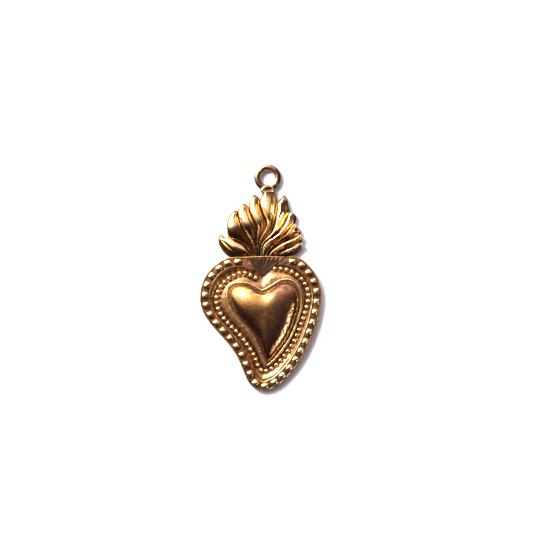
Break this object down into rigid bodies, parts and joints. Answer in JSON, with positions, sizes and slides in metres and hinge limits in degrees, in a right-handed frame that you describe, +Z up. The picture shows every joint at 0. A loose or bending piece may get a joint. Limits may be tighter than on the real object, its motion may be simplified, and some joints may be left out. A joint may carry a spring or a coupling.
{
  "type": "votive heart charm",
  "caption": "Flaming heart votive charm in brass: puffed heart in a beaded and knobbed border, a crown of flames, and a soldered ring to hang it by.",
  "frame": {"origin": "middle of the suspension ring's bore", "axes": "+Z up towards the ring's top as the charm hangs, -Y out of the decorated face, +Y out of the flat back, +X to the right seen from the face"},
  "size_m": [0.0149, 0.0025, 0.028],
  "materials": {
    "back_brass": "brushed, lightly tarnished",
    "relief_brass": "satin, darkened in the recesses",
    "bead_brass": "burnished on top, darkened at the foot",
    "polished_brass": "polished",
    "flame_brass": "burnished ridges, darkened grooves",
    "ring_brass": "drawn wire, lightly polished"
  },
  "bodies": {
    "root": {"back_plate": "back_brass", "heart_body": "relief_brass", "edge_wire": "relief_brass", "border_knobs": "bead_brass", "ridge_wire": "relief_brass", "bead_row": "bead_brass", "dome_rim_wire": "relief_brass", "heart_dome": "polished_brass", "cleft_fan": "relief_brass", "flame_left_low": "flame_brass", "flame_left_outer": "flame_brass", "flame_left_middle": "flame_brass", "flame_left_inner": "flame_brass", "flame_centre": "flame_brass", "flame_right_inner": "flame_brass", "flame_right_upper": "flame_brass", "flame_right_middle": "flame_brass", "flame_right_lower": "flame_brass", "flame_right_foot": "flame_brass", "ring_collar": "ring_brass", "suspension_ring": "ring_brass"}
  },
  "joints": []
}
